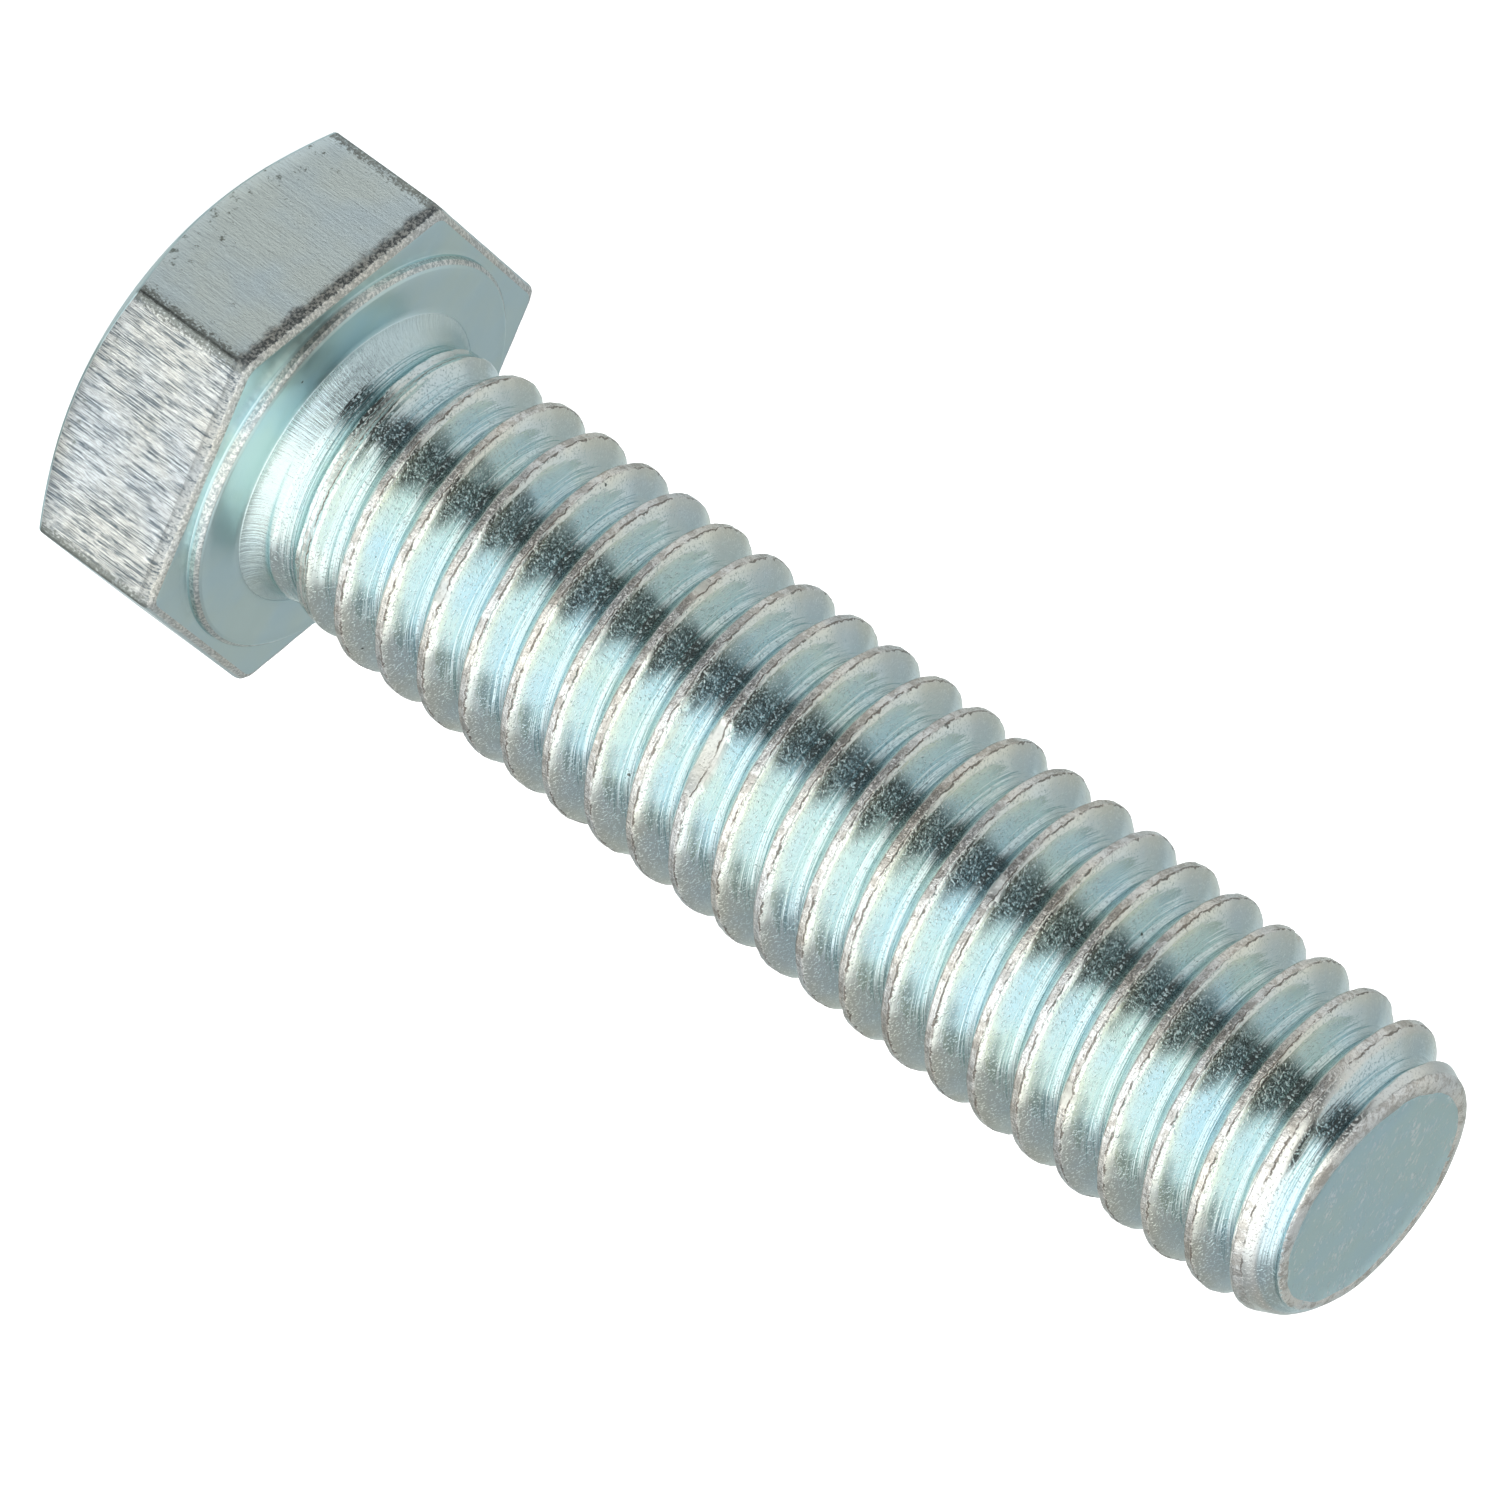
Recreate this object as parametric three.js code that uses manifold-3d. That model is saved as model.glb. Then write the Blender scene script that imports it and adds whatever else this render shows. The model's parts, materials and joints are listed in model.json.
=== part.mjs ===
// Hex bolt, 3/8-16 x 1-1/2 in, threaded right up to the head.
// It is one cold-headed and thread-rolled piece of steel, so it is one solid: head, washer face,
// fillet, neck, rolled thread and point all run into each other.
//
// Frame: millimetres. The bolt stands on the top of its head, with the centre of that face at the
// origin and the shank rising along +Z. Two wrench flats face +Y and -Y, and two corners lie on X.
import * as THREE from 'three';
import { mergeGeometries, mergeVertices } from 'three/addons/utils/BufferGeometryUtils.js';
import Module from 'manifold-3d';

const wasm = await Module();
wasm.setup();

// Head. Angles are in degrees.
const ACROSS_FLATS = 14.0;
const HEX_HEIGHT = 5.02;           // top of the head to the root of the washer face
const HEAD_CHAMFER_ANGLE = 30;     // between the turned chamfer and the top of the head
const HEAD_CHAMFER_MARGIN = 0.35;  // ring left between the flat top and the wrench flats
const WASHER_FACE_HEIGHT = 0.40;
const WASHER_FACE_MARGIN = 0.55;   // washer face to wrench flats
const WASHER_EDGE_HEIGHT = 0.11;   // broken edge around the washer face
const WASHER_EDGE_WIDTH = 0.20;

// Shank
const LENGTH = 38.1;               // washer face to end face
const FILLET_RADIUS = 0.95;
const NECK_LENGTH = 0.15;          // plain neck between the fillet and the first shallow turn
const POINT_ANGLE = 24;            // between the cone of the point and the axis
const POINT_LENGTH = 1.4;          // height of that cone
const POINT_EDGE_HEIGHT = 0.23;    // broken edge around the end face
const POINT_EDGE_WIDTH = 0.50;

// Thread: 60 degrees, 16 to the inch, right-hand
const PITCH = 25.4 / 16;
const MAJOR_DIAMETER = 9.35;
const CREST_WIDTH = PITCH / 6;
const ROOT_WIDTH = PITCH / 6;
const FLANK_ANGLE = 30;            // between a flank and a plane square to the axis
const RISE_SHARE = 0.46;           // share of the thread's depth that rolling raises over the blank
const RUNOUT_TURNS = 1.4;          // over which the thread comes to its full depth
const CREST_ON_X = 0.774;          // height over the washer face where the crest crosses +X

const FACETS = 36;                 // around the axis
const FILLET_STEPS = 5;
const OVERLAP = 1;                 // how far joined shapes run into each other
const WELD = 1e-4;                 // points closer than this are one point

const radians = THREE.MathUtils.degToRad;
const headHeight = HEX_HEIGHT + WASHER_FACE_HEIGHT;
const endHeight = headHeight + LENGTH;
const flatRadius = ACROSS_FLATS / 2;
const cornerRadius = flatRadius / Math.cos(radians(30));
const flankHeight = (PITCH - CREST_WIDTH - ROOT_WIDTH) / 2;
const threadDepth = flankHeight / Math.tan(radians(FLANK_ANGLE));
const crestRadius = MAJOR_DIAMETER / 2;
const neckRadius = crestRadius - threadDepth * RISE_SHARE;
const rootRadius = crestRadius - threadDepth;
const runoutLength = PITCH * RUNOUT_TURNS;
const runoutBottom = headHeight + FILLET_RADIUS + NECK_LENGTH;
const runoutTop = runoutBottom + runoutLength;

// Revolves [radius, height] points around +Z. They start and end on the axis.
function turned(points) {
  const outline = points.map(([radius, height]) => new THREE.Vector2(radius, height));
  return new THREE.LatheGeometry(outline, FACETS).rotateX(Math.PI / 2);
}

// The solid inside a closed geometry, without the faces that a lathe flattens on its axis.
function solid(geometry) {
  geometry.deleteAttribute('normal');
  geometry.deleteAttribute('uv');
  const welded = mergeVertices(geometry, WELD);
  const corners = welded.index.array;
  const triangles = [];
  for (let first = 0; first < corners.length; first += 3) {
    const [a, b, c] = corners.slice(first, first + 3);
    if (a !== b && b !== c && c !== a) triangles.push(a, b, c);
  }
  return new wasm.Manifold(new wasm.Mesh({
    numProp: 3,
    vertProperties: new Float32Array(welded.attributes.position.array),
    triVerts: new Uint32Array(triangles),
  }));
}

// Hexagon prism, with the corners of its top turned off by a cone.
function head() {
  const corners = [0, 60, 120, 180, 240, 300].map((degrees) => new THREE.Vector2(
    cornerRadius * Math.cos(radians(degrees)),
    cornerRadius * Math.sin(radians(degrees)),
  ));
  const hexagon = new THREE.Shape(corners);
  const prism = new THREE.ExtrudeGeometry(hexagon, { depth: HEX_HEIGHT, bevelEnabled: false });
  const topRadius = flatRadius - HEAD_CHAMFER_MARGIN;
  const wideRadius = cornerRadius + OVERLAP;
  const cone = turned([
    [0, 0],
    [topRadius, 0],
    [wideRadius, (wideRadius - topRadius) * Math.tan(radians(HEAD_CHAMFER_ANGLE))],
    [wideRadius, HEX_HEIGHT + OVERLAP],
    [0, HEX_HEIGHT + OVERLAP],
  ]);
  return solid(prism).intersect(solid(cone));
}

// Washer face, fillet and neck, and the cone on which the roots of the first turns deepen.
function neck() {
  const faceRadius = flatRadius - WASHER_FACE_MARGIN;
  const fillet = [];
  for (let step = 0; step <= FILLET_STEPS; step++) {
    const angle = radians(90 * step / FILLET_STEPS);
    fillet.push([
      neckRadius + FILLET_RADIUS * (1 - Math.sin(angle)),
      headHeight + FILLET_RADIUS * (1 - Math.cos(angle)),
    ]);
  }
  const deepening = (neckRadius - rootRadius) / runoutLength;
  return solid(turned([
    [0, HEX_HEIGHT - OVERLAP],
    [faceRadius, HEX_HEIGHT - OVERLAP],
    [faceRadius, headHeight - WASHER_EDGE_HEIGHT],
    [faceRadius - WASHER_EDGE_WIDTH, headHeight],
    ...fillet,
    [neckRadius, runoutBottom],
    [rootRadius - deepening * OVERLAP, runoutTop + OVERLAP],
    [0, runoutTop + OVERLAP],
  ]));
}

// What the thread may fill: it widens along the run-out and narrows to the point.
function threadRoom() {
  const growth = (crestRadius - neckRadius) / runoutLength;
  const narrowing = Math.tan(radians(POINT_ANGLE));
  const pointRadius = crestRadius - POINT_LENGTH * narrowing;
  const pointHeight = endHeight - POINT_EDGE_HEIGHT;
  const wideRadius = crestRadius + OVERLAP;
  return solid(turned([
    [0, runoutBottom - OVERLAP],
    [neckRadius - growth * OVERLAP, runoutBottom - OVERLAP],
    [crestRadius, runoutTop],
    [wideRadius, runoutTop],
    [wideRadius, pointHeight - (wideRadius - pointRadius) / narrowing],
    [pointRadius, pointHeight],
    [pointRadius - POINT_EDGE_WIDTH, endHeight],
    [0, endHeight],
  ]));
}

// An endless screw: the thread profile revolved, with each column of the lathe leaned up the helix
// by its share of one pitch. At the seam the last column meets the first one pitch higher up, and
// at each end a flat piece of the profile closes the step that is left.
function screw() {
  const turnOfProfile = [
    [rootRadius, -CREST_WIDTH / 2 - flankHeight],
    [crestRadius, -CREST_WIDTH / 2],
    [crestRadius, CREST_WIDTH / 2],
    [rootRadius, CREST_WIDTH / 2 + flankHeight],
  ];
  const rows = turnOfProfile.length;
  const turns = Math.ceil(LENGTH / PITCH) + 2;
  const seamToX = PITCH / 4;       // the seam is on -Y, a quarter turn before +X
  const firstCrest = headHeight + CREST_ON_X - seamToX - PITCH;
  const profile = [];
  for (let turn = 0; turn < turns; turn++) {
    for (const [radius, height] of turnOfProfile) {
      profile.push(new THREE.Vector2(radius, firstCrest + turn * PITCH + height));
    }
  }
  const low = new THREE.Vector2(0, profile[0].y);
  const high = new THREE.Vector2(0, profile.at(-1).y);
  const outline = [low, ...profile, high];

  const lathe = new THREE.LatheGeometry(outline, FACETS);
  const points = lathe.attributes.position;
  for (let i = 0; i < points.count; i++) {
    const column = Math.floor(i / outline.length);
    const onAxis = i % outline.length === 0 || (i + 1) % outline.length === 0;
    if (!onAxis) points.setY(i, points.getY(i) + PITCH * column / FACETS);
  }

  const raised = profile.slice(-rows).map((point) => new THREE.Vector2(point.x, point.y + PITCH));
  const lowStep = new THREE.ShapeGeometry(new THREE.Shape([low, ...profile.slice(0, rows + 1)]));
  const highStep = new THREE.ShapeGeometry(new THREE.Shape([high, profile.at(-1), ...raised]));
  highStep.index.array.reverse();
  const steps = [lowStep, highStep].map((step) => step.rotateY(-Math.PI / 2));
  return solid(mergeGeometries([lathe, ...steps]).rotateX(Math.PI / 2));
}

// Back to a three.js geometry, with flat shading.
function geometryOf(manifold) {
  const { vertProperties, triVerts } = manifold.getMesh();
  const geometry = new THREE.BufferGeometry();
  geometry.setAttribute('position', new THREE.BufferAttribute(vertProperties, 3));
  geometry.setIndex(new THREE.BufferAttribute(triVerts, 1));
  const flat = geometry.toNonIndexed();
  flat.computeVertexNormals();
  return flat;
}

const zincPlatedSteel = new THREE.MeshStandardMaterial({
  color: '#b3c3c8',
  roughness: 0.3,
  metalness: 1,
});

const shank = screw().intersect(threadRoom());
const bolt = new THREE.Mesh(geometryOf(shank.add(neck()).add(head())), zincPlatedSteel);
bolt.name = 'hex_bolt';

const object = new THREE.Group();
object.add(bolt);
export default object;
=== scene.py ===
# Fully threaded hex bolt, 3/8-16 x 1-1/2 in, bright zinc plated.
# The bolt stands on its head with its axis on +Z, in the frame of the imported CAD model.
import json
import math

import bmesh
import bpy
from mathutils import Matrix, Vector, noise


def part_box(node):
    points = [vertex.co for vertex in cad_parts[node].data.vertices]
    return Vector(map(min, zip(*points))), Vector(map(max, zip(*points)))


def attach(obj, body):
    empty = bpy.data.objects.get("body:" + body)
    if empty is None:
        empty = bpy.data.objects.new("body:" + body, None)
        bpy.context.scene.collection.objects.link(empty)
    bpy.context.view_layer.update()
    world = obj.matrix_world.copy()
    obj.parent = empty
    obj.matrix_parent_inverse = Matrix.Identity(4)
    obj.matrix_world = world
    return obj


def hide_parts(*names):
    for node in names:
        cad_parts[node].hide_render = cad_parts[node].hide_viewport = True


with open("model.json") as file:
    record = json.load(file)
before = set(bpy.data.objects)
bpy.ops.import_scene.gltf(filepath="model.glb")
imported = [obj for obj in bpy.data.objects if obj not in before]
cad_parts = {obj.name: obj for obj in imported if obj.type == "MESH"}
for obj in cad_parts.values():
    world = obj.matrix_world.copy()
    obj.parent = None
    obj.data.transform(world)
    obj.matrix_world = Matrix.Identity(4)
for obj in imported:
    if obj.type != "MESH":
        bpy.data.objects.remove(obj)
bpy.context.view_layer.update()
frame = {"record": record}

# ---------------------------------------------------------------------------------------------
# Camera. A long lens half a metre away looks down on the bolt from 24 degrees above its head,
# and is rolled so that the shank runs from upper left to lower right.
# ---------------------------------------------------------------------------------------------
CAMERA_AZIMUTH = -118.65  # direction from the bolt to the camera, degrees from +X
CAMERA_ELEVATION = 23.77
CAMERA_ROLL = 126.06
CAMERA_DISTANCE = 0.46257
CAMERA_LENS = 398.3  # millimetres on a 36 mm sensor
CAMERA_AIM = Vector((0.00010926, -0.00005969, 0.02061822))  # just beside the bolt's axis

azimuth, elevation = math.radians(CAMERA_AZIMUTH), math.radians(CAMERA_ELEVATION)
to_camera = Vector(
    (
        math.cos(azimuth) * math.cos(elevation),
        math.sin(azimuth) * math.cos(elevation),
        math.sin(elevation),
    )
)
camera = bpy.data.objects.new("camera", bpy.data.cameras.new("camera"))
bpy.context.scene.collection.objects.link(camera)
bpy.context.scene.camera = camera
camera.data.sensor_width = 36
camera.data.lens = CAMERA_LENS
camera.data.clip_start, camera.data.clip_end = 0.01, 10
level_view = to_camera.to_track_quat("Z", "Y").to_matrix()
camera_axes = level_view @ Matrix.Rotation(math.radians(CAMERA_ROLL), 3, "Z")
camera.matrix_world = Matrix.Translation(CAMERA_AIM + to_camera * CAMERA_DISTANCE) @ camera_axes.to_4x4()

# ---------------------------------------------------------------------------------------------
# Studio. A white light tent: even mid-tone walls, one long soft box below and beside the
# camera, and a dark gap between the box and the wall, which bright metal shows as a dark band.
# ---------------------------------------------------------------------------------------------
def node(tree, kind, inputs=None, **settings):
    """Adds a node. inputs maps its sockets to values, to other nodes or to their outputs."""
    made = tree.nodes.new(kind)
    for name, value in settings.items():
        setattr(made, name, value)
    for socket, value in (inputs or {}).items():
        if isinstance(value, bpy.types.Node):
            value = value.outputs[0]
        if isinstance(value, bpy.types.NodeSocket):
            tree.links.new(value, made.inputs[socket])
        else:
            made.inputs[socket].default_value = value
    return made


WALL_LIGHT = 0.90
FAR_WALL_LIGHT = 0.60
LOWER_WALL_LIGHT = 0.46
BACKDROP_LIGHT = 1.0
SOFT_BOX_LIGHT = 1.78
GAP_LIGHT = 0.075
BAND_NORMAL = Vector((0.43724, -0.87971, 0.18432))  # square to the plane of the dark gap

world = bpy.data.worlds.new("light_tent")
bpy.context.scene.world = world
world.use_nodes = True
sky = world.node_tree
sky.nodes.clear()
looking = node(sky, "ShaderNodeTexCoord").outputs["Generated"]
# How far a direction points behind the bolt, and how far across the plane of the gap.
behind = node(sky, "ShaderNodeVectorMath", {0: looking, 1: -to_camera}, operation="DOT_PRODUCT")
across = node(sky, "ShaderNodeVectorMath", {0: looking, 1: BAND_NORMAL}, operation="DOT_PRODUCT")
right = node(sky, "ShaderNodeVectorMath", {0: looking, 1: camera_axes.col[0]}, operation="DOT_PRODUCT")
behind, across, right = (product.outputs["Value"] for product in (behind, across, right))
SMOOTH = {"interpolation_type": "SMOOTHSTEP"}
# The soft box fills the half on its side of the gap's plane, and fades out behind the bolt.
near = node(sky, "ShaderNodeMapRange", {0: behind, 1: -0.18, 2: 0.23, 3: 1, 4: 0}, **SMOOTH)
box = node(sky, "ShaderNodeMapRange", {0: across, 1: 0.0, 2: 0.32}, **SMOOTH)
box = node(sky, "ShaderNodeMath", {0: box, 1: near}, operation="MULTIPLY")
# The wall is dimmer far behind the bolt and on the side of the box, and white as a backdrop.
wall = node(
    sky, "ShaderNodeMapRange", {0: behind, 1: 0.25, 2: 0.65, 3: WALL_LIGHT, 4: FAR_WALL_LIGHT}, **SMOOTH
)
wall = node(
    sky, "ShaderNodeMapRange", {0: across, 1: -0.30, 2: 0.05, 3: wall, 4: LOWER_WALL_LIGHT}, **SMOOTH
)
wall = node(sky, "ShaderNodeMapRange", {0: box, 3: wall, 4: SOFT_BOX_LIGHT})
wall = node(
    sky,
    "ShaderNodeMapRange",
    {0: behind, 1: 0.80, 2: 0.97, 3: wall, 4: BACKDROP_LIGHT},
    **SMOOTH,
)
# The gap narrows towards the right, and its edges are soft.
gap_width = node(sky, "ShaderNodeMapRange", {0: right, 1: 0.1, 2: 0.85, 3: 0.46, 4: 0.13})
gap = node(sky, "ShaderNodeMath", {0: across, 1: gap_width}, operation="DIVIDE")
gap = node(sky, "ShaderNodeMath", {0: gap}, operation="ABSOLUTE")
gap = node(sky, "ShaderNodeMapRange", {0: gap, 1: 0.55, 2: 1.35, 3: near, 4: 0}, **SMOOTH)
light = node(sky, "ShaderNodeMapRange", {0: gap, 3: wall, 4: GAP_LIGHT})
# The camera itself sees plain white.
seen = node(sky, "ShaderNodeLightPath").outputs["Is Camera Ray"]
shown = node(sky, "ShaderNodeMapRange", {0: seen, 3: light, 4: 1})
background = node(sky, "ShaderNodeBackground", {"Strength": shown})
node(sky, "ShaderNodeOutputWorld", {"Surface": background})

bpy.context.scene.view_settings.view_transform = "Standard"

# The table under the head is a sheet of white acrylic. It glows a little, as lit acrylic does,
# so that the bolt leaves only a faint shadow on it.
FLOOR_RADIUS = 1.2
FLOOR_GLOW = 0.8

disc = bmesh.new()
bmesh.ops.create_circle(disc, cap_ends=True, segments=64, radius=FLOOR_RADIUS)
floor_mesh = bpy.data.meshes.new("floor")
disc.to_mesh(floor_mesh)
disc.free()
floor = bpy.data.objects.new("floor", floor_mesh)
bpy.context.scene.collection.objects.link(floor)
acrylic = bpy.data.materials.new("white acrylic sheet")
acrylic.use_nodes = True
shader = acrylic.node_tree.nodes["Principled BSDF"]
shader.inputs["Base Color"].default_value = (0.9, 0.9, 0.9, 1)
shader.inputs["Roughness"].default_value = 0.6
shader.inputs["Emission Color"].default_value = (1, 1, 1, 1)
shader.inputs["Emission Strength"].default_value = FLOOR_GLOW
floor_mesh.materials.append(acrylic)
floor.visible_glossy = False
floor.visible_shadow = False

# ---------------------------------------------------------------------------------------------
# Head. The hexagon is upset cold from the wire and trimmed, which pulls its bearing edge round.
# A lathe cone turns the corners off its top. Sizes are in millimetres until the mesh is whole.
# ---------------------------------------------------------------------------------------------
TO_MM = 1000
_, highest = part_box("hex_bolt")
mounts = {mount["name"]: mount for mount in frame["record"]["mounts"]}
HEAD_HEIGHT = mounts["washer_face"]["pos_m"][2] * TO_MM
END_HEIGHT = highest.z * TO_MM
HALF_FLATS = highest.y * TO_MM

COLUMNS_PER_SIDE = 26
COLUMNS = 6 * COLUMNS_PER_SIDE
CORNER_COLUMNS = 4  # on each side of a corner, within its rounding
CORNER_RADIUS = 0.22
HALF_SIDE_ANGLE = math.radians(30)  # a side of the hexagon seen from the axis, from its middle
CHAMFER_MARGIN = 0.35
TOP_RADIUS = HALF_FLATS - CHAMFER_MARGIN
CHAMFER_SLOPE = math.tan(math.radians(30))
TOP_EDGE = 0.06
WASHER_FACE_HEIGHT = 0.40
HEX_HEIGHT = HEAD_HEIGHT - WASHER_FACE_HEIGHT
BEARING_EDGE_HEIGHT = 0.42
BEARING_EDGE_WIDTH = 0.26
BEARING_CORNER_RADIUS = 0.55
BEARING_RUFFLES = ((0.05, 2.1), (0.04, 5.3))  # share of the edge's height, waves per millimetre
RUFFLE_PULL = 0.05
WASHER_WALL_RADIUS = 6.47
WASHER_FOOT_RADIUS = WASHER_WALL_RADIUS + 0.05


def hexagon_point(column, half_flats, corner_radius):
    """A point of a hexagon with rounded corners; the columns crowd at the corners."""
    half = COLUMNS_PER_SIDE // 2
    corner, step = divmod(column + half, COLUMNS_PER_SIDE)
    step -= half
    lean = HALF_SIDE_ANGLE * max(-1, min(1, step / CORNER_COLUMNS))
    centre = (half_flats - corner_radius) / math.cos(HALF_SIDE_ANGLE)
    point = Vector((centre + corner_radius * math.cos(lean), corner_radius * math.sin(lean), 0))
    past = max(0, abs(step) - CORNER_COLUMNS) / (half - CORNER_COLUMNS)
    run = math.copysign(centre * math.sin(HALF_SIDE_ANGLE) * past, step)
    point += Vector((-math.sin(lean), math.cos(lean), 0)) * run
    return Matrix.Rotation(2 * HALF_SIDE_ANGLE * corner, 3, "Z") @ point


def ring_point(column, radius, height):
    """A point of a level ring round the axis."""
    turn = 2 * math.pi * column / COLUMNS
    return Vector((radius * math.cos(turn), radius * math.sin(turn), height))


def wrap_grid(form, rows, place):
    """Wraps a flat grid once round the axis: each of its points goes to place(row, column)."""
    flat = bmesh.ops.create_grid(form, x_segments=COLUMNS, y_segments=rows - 1, size=0.5)
    for vertex in flat["verts"]:
        column = round((vertex.co.x + 0.5) * COLUMNS)
        row = round((vertex.co.y + 0.5) * (rows - 1))
        vertex.co = place(row, column)


def top_row(share):
    """A row of the flat top of the head, from its middle out to the chamfer."""
    def place(column):
        outer = hexagon_point(column, HALF_FLATS, CORNER_RADIUS).normalized()
        return ring_point(column, 1, 0).lerp(outer, share).normalized() * TOP_RADIUS * share
    return place


def chamfer_row(share):
    """A row of the cone that is turned on the top of the head."""
    def place(column):
        outer = hexagon_point(column, HALF_FLATS, CORNER_RADIUS)
        radius = TOP_RADIUS + (outer.length - TOP_EDGE / 2 - TOP_RADIUS) * share
        point = outer.normalized() * radius
        point.z = (radius - TOP_RADIUS) * CHAMFER_SLOPE
        return point
    return place


def side_row(share):
    """A row of the wrench flats, from the chamfer's arcs to the bearing edge."""
    def place(column):
        point = hexagon_point(column, HALF_FLATS, CORNER_RADIUS)
        low = (point.length - TOP_RADIUS) * CHAMFER_SLOPE + TOP_EDGE
        point.z = low + (HEX_HEIGHT - BEARING_EDGE_HEIGHT - low) * share
        return point
    return place


def edge_row(share):
    """A row of the pulled bearing edge."""
    def place(column):
        angle = math.pi / 2 * share
        inset = BEARING_EDGE_WIDTH * (1 - math.cos(angle))
        corner = CORNER_RADIUS + (BEARING_CORNER_RADIUS - CORNER_RADIUS) * share
        point = hexagon_point(column, HALF_FLATS - inset, corner)
        ruffle = sum(height * noise.noise(point * waves) for height, waves in BEARING_RUFFLES)
        point.z = HEX_HEIGHT - BEARING_EDGE_HEIGHT * (1 - math.sin(angle)) * (1 + ruffle)
        return point * (1 - RUFFLE_PULL * ruffle * math.sin(2 * angle))
    return place


def bearing_row(share):
    """A row of the level face between the bearing edge and the washer face."""
    def place(column):
        point = hexagon_point(column, HALF_FLATS - BEARING_EDGE_WIDTH, BEARING_CORNER_RADIUS)
        point.z = 0
        point = point.lerp(ring_point(column, WASHER_FOOT_RADIUS, 0), share)
        point.z = HEX_HEIGHT
        return point
    return place


TOP_ROWS, SIDE_ROWS, EDGE_ROWS, BEARING_ROWS = 12, 8, 6, 5
head_rows = [top_row(step / TOP_ROWS) for step in range(TOP_ROWS + 1)]
head_rows += [chamfer_row(share) for share in (0.05, 0.35, 0.7, 1.0)]
head_rows += [side_row(step / SIDE_ROWS) for step in range(SIDE_ROWS + 1)]
head_rows += [edge_row(step / EDGE_ROWS) for step in range(1, EDGE_ROWS + 1)]
head_rows += [bearing_row(step / BEARING_ROWS) for step in range(1, BEARING_ROWS + 1)]
bolt_form = bmesh.new()
wrap_grid(bolt_form, len(head_rows), lambda row, column: head_rows[row](column))

# ---------------------------------------------------------------------------------------------
# Washer face and neck. A low round boss bears on the washer. Inside it the metal sweeps up in
# a fillet, then in a streaky cone that the forging die drew, to the neck under the thread.
# ---------------------------------------------------------------------------------------------
BLANK_RADIUS = 4.253
FILLET_RADIUS = 0.80
FILLET_START = math.radians(20)  # the sweep's slope where it leaves the washer face
FILLET_FOOT = BLANK_RADIUS + FILLET_RADIUS * (1 - math.sin(FILLET_START))
FILLET_FOOT_HEIGHT = HEAD_HEIGHT + 0.05
NECK_BOTTOM = FILLET_FOOT_HEIGHT + FILLET_RADIUS * math.cos(FILLET_START)
WASHER_OUTLINE = (
    (WASHER_FOOT_RADIUS, HEX_HEIGHT),
    (WASHER_WALL_RADIUS + 0.015, HEX_HEIGHT + 0.015),
    (WASHER_WALL_RADIUS, HEX_HEIGHT + 0.05),
    (WASHER_WALL_RADIUS - 0.01, HEAD_HEIGHT - 0.15),
    (WASHER_WALL_RADIUS - 0.05, HEAD_HEIGHT - 0.11),
    (6.29, HEAD_HEIGHT - 0.012),
    (6.23, HEAD_HEIGHT),
    (5.9, HEAD_HEIGHT - 0.004),
    (5.5, HEAD_HEIGHT - 0.004),
    (FILLET_FOOT + 0.26, HEAD_HEIGHT),
    (FILLET_FOOT + 0.14, HEAD_HEIGHT + 0.010),
    (FILLET_FOOT + 0.06, HEAD_HEIGHT + 0.028),
)

# ---------------------------------------------------------------------------------------------
# Thread. Flat dies roll a right-hand 60 degree thread into a plain blank. The metal rises to the
# crests, where it closes in a rough seam, and the first turns after the neck don't fill.
# ---------------------------------------------------------------------------------------------
PITCH = 25.4 / 16
CREST_RADIUS = 4.675
CREST_ON_X = HEAD_HEIGHT + 0.774  # height at which the crest crosses +X
RUNOUT_START = HEAD_HEIGHT + 0.3
RUNOUT_LENGTH = 3.0
UNFILLED_DEPTH = 0.105  # of the dip between the two lips of a crest that isn't full
LIP_RISE = 0.05
LIP_SPACING = 0.25  # from the middle of the crest
LIP_HALF_WIDTH = 0.1
CREST_WANDER = 0.03  # how far the crest strays along the axis
WANDER_WAVES = 0.9  # waves per millimetre
CREST_RISE = 0.03  # how unevenly the crest fills
FILL_WAVES = ((1, 1.7), (0.5, 4.9))  # share of the rise, waves per millimetre
FILL_DEPTH = 0.35  # down to which the filling is uneven
POINT_SLOPE = math.tan(math.radians(24))
POINT_RADIUS = 4.02
POINT_EDGE_HEIGHT = 0.16
POINT_TOP = END_HEIGHT - POINT_EDGE_HEIGHT
POINT_BLEND = 0.12  # rounds the thread off where the point's cone cuts it

# Half of the thread's profile: distance from the middle of the crest, and depth below it.
HALF_PROFILE = (
    (0.00, 0.020),
    (0.05, 0.000),
    (0.11, 0.008),
    (0.16, 0.055),
    (0.26, 0.220),
    (0.40, 0.462),
    (0.54, 0.704),
    (0.62, 0.836),
    (0.67, 0.892),
    (0.73, 0.915),
    (PITCH / 2, 0.9165),
)
PITCH_ROWS = [PITCH / 2 - place for place, _ in reversed(HALF_PROFILE)]
PITCH_ROWS += [PITCH / 2 + place for place, _ in HALF_PROFILE[1:-1]]
ROWS_PER_PITCH = len(PITCH_ROWS)

# Knocks that flattened a crest: angle round the axis, height, half length (degrees) and depth.
KNOCKS = (
    (255, 21.61, 15, 0.34),
    (262, 12.3, 4, 0.10),
    (231, 30.9, 3, 0.08),
    (276, 35.8, 4, 0.09),
    (205, 18.0, 3, 0.08),
    (95, 15.4, 6, 0.14),
    (40, 28.3, 5, 0.12),
    (150, 37.6, 4, 0.10),
)


def crest_offset(height):
    """Distance to the nearest crest from a height above any one of them."""
    return abs((height / PITCH + 0.5) % 1 - 0.5) * PITCH


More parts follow.
